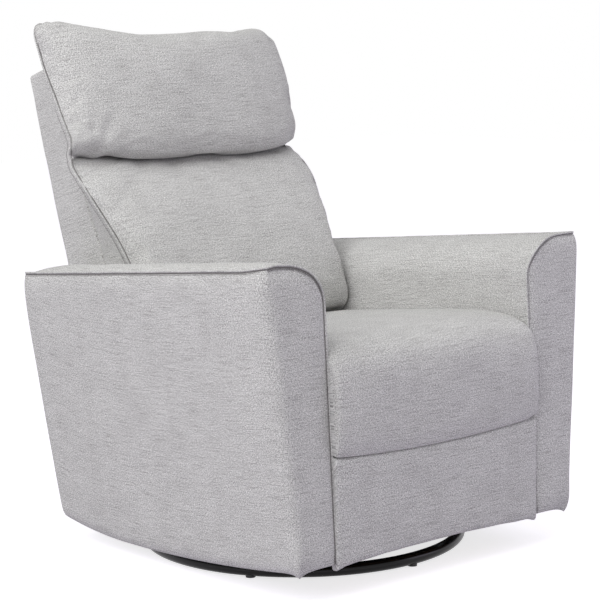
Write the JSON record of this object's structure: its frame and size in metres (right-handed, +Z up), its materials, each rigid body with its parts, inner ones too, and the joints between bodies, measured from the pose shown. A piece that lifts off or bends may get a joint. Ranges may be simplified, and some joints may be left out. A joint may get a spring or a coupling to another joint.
{
  "type": "swivel glider recliner",
  "caption": "Upholstered swivel glider recliner: flared padded arms, deep seat cushion, head and lumbar cushions, fold-out footrest, hanging glide links and a round tubular swivel base.",
  "frame": {"origin": "on the floor, on the vertical axis of the swivel, at the middle of the cap under the base's centre bolt", "axes": "+Z up, -Y the way the sitter faces, +X the sitter's left"},
  "size_m": [0.748, 0.8694, 0.9529],
  "materials": {
    "woven_upholstery": "matte",
    "frame_timber": "matte",
    "plywood": "matte",
    "black_enamel_steel": "gloss",
    "zinc_steel": "satin",
    "spring_steel": "satin",
    "glide_plastic": "matte"
  },
  "bodies": {
    "base": {"base_ring": "black_enamel_steel", "ring_glides": "glide_plastic", "base_spokes": "black_enamel_steel", "bearing_lower_plate": "zinc_steel", "bearing_balls": "spring_steel", "ball_cage": "glide_plastic", "king_bolt": "zinc_steel", "bolt_cap": "glide_plastic"},
    "swivel_deck": {"bearing_upper_plate": "zinc_steel", "deck_plate": "black_enamel_steel", "glide_brackets": "black_enamel_steel", "deck_pivot_pins": "zinc_steel"},
    "front_swing_links": {"front_glide_links": "zinc_steel"},
    "rear_swing_links": {"rear_glide_links": "zinc_steel"},
    "chair_body": {"glide_rails": "zinc_steel", "glide_pivot_pins": "zinc_steel", "front_base_rail": "frame_timber", "rear_base_rail": "frame_timber", "rear_apron": "woven_upholstery", "arm_cover_left": "woven_upholstery", "arm_cover_right": "woven_upholstery", "arm_inner_board_left": "plywood", "arm_inner_board_right": "plywood", "arm_outer_board_left": "plywood", "arm_outer_board_right": "plywood", "arm_top_rails": "frame_timber", "arm_front_posts": "frame_timber", "arm_rear_posts": "frame_timber", "mechanism_plate_left": "zinc_steel", "mechanism_plate_right": "zinc_steel", "plate_bolts": "zinc_steel", "seat_front_rail": "frame_timber", "seat_rear_rail": "frame_timber", "seat_side_rails": "frame_timber", "seat_springs": "spring_steel", "seat_cushion": "woven_upholstery", "seat_front_pad": "woven_upholstery", "recline_pivot_pins": "zinc_steel", "footrest_pivot_pins": "zinc_steel"},
    "footrest_upper": {"footrest_upper_links": "zinc_steel", "footrest_cross_tube": "zinc_steel", "footrest_elbow_pins": "zinc_steel"},
    "footrest_lower": {"footrest_lower_links": "zinc_steel"},
    "footrest_panel": {"board_pivot_pins": "zinc_steel", "footrest_brackets": "zinc_steel", "footrest_board": "plywood", "footrest_pad": "woven_upholstery"},
    "backrest": {"back_post_left": "frame_timber", "back_post_right": "frame_timber", "back_top_rail": "frame_timber", "back_middle_rail": "frame_timber", "back_bottom_rail": "frame_timber", "back_springs": "spring_steel", "back_brackets": "zinc_steel", "back_rear_panel": "woven_upholstery", "back_side_panel_left": "woven_upholstery", "back_side_panel_right": "woven_upholstery", "back_cap_panel": "woven_upholstery", "lumbar_cushion": "woven_upholstery", "head_cushion": "woven_upholstery"}
  },
  "joints": [
    {"name": "swivel", "type": "hinge", "parent": "base", "child": "swivel_deck", "pos_m": [0, 0, 0], "axis": [0, 0, 1], "continuous": true},
    {"name": "front_swing", "type": "hinge", "parent": "swivel_deck", "child": "front_swing_links", "pos_m": [0, -0.12, 0.25], "axis": [1, 0, 0], "range_deg": [-20, 20]},
    {"name": "rear_swing", "type": "hinge", "parent": "swivel_deck", "child": "rear_swing_links", "pos_m": [0, 0.12, 0.25], "axis": [1, 0, 0], "range_deg": [-20, 20]},
    {"name": "glide_level", "type": "hinge", "parent": "front_swing_links", "child": "chair_body", "pos_m": [0, -0.12, 0.1], "axis": [1, 0, 0], "range_deg": [-20, 20]},
    {"name": "recline", "type": "hinge", "parent": "chair_body", "child": "backrest", "pos_m": [0, 0.17, 0.33], "axis": [-1, 0, 0], "range_deg": [0, 35]},
    {"name": "footrest_lift", "type": "hinge", "parent": "chair_body", "child": "footrest_upper", "pos_m": [0, -0.25, 0.298], "axis": [-1, 0, 0], "range_deg": [0, 108.5]},
    {"name": "footrest_elbow", "type": "hinge", "parent": "footrest_upper", "child": "footrest_lower", "pos_m": [0, -0.16912, 0.17167], "axis": [-1, 0, 0], "range_deg": [-81.71, 0]},
    {"name": "footrest_tilt", "type": "hinge", "parent": "footrest_lower", "child": "footrest_panel", "pos_m": [0, -0.318, 0.19], "axis": [-1, 0, 0], "range_deg": [0, 63.21]}
  ],
  "couplings": [
    {"joint": "rear_swing", "follows": "front_swing", "ratio": 1},
    {"joint": "glide_level", "follows": "front_swing", "ratio": -1},
    {"joint": "footrest_elbow", "follows": "footrest_lift", "ratio": -0.753},
    {"joint": "footrest_tilt", "follows": "footrest_lift", "ratio": 0.5825}
  ]
}
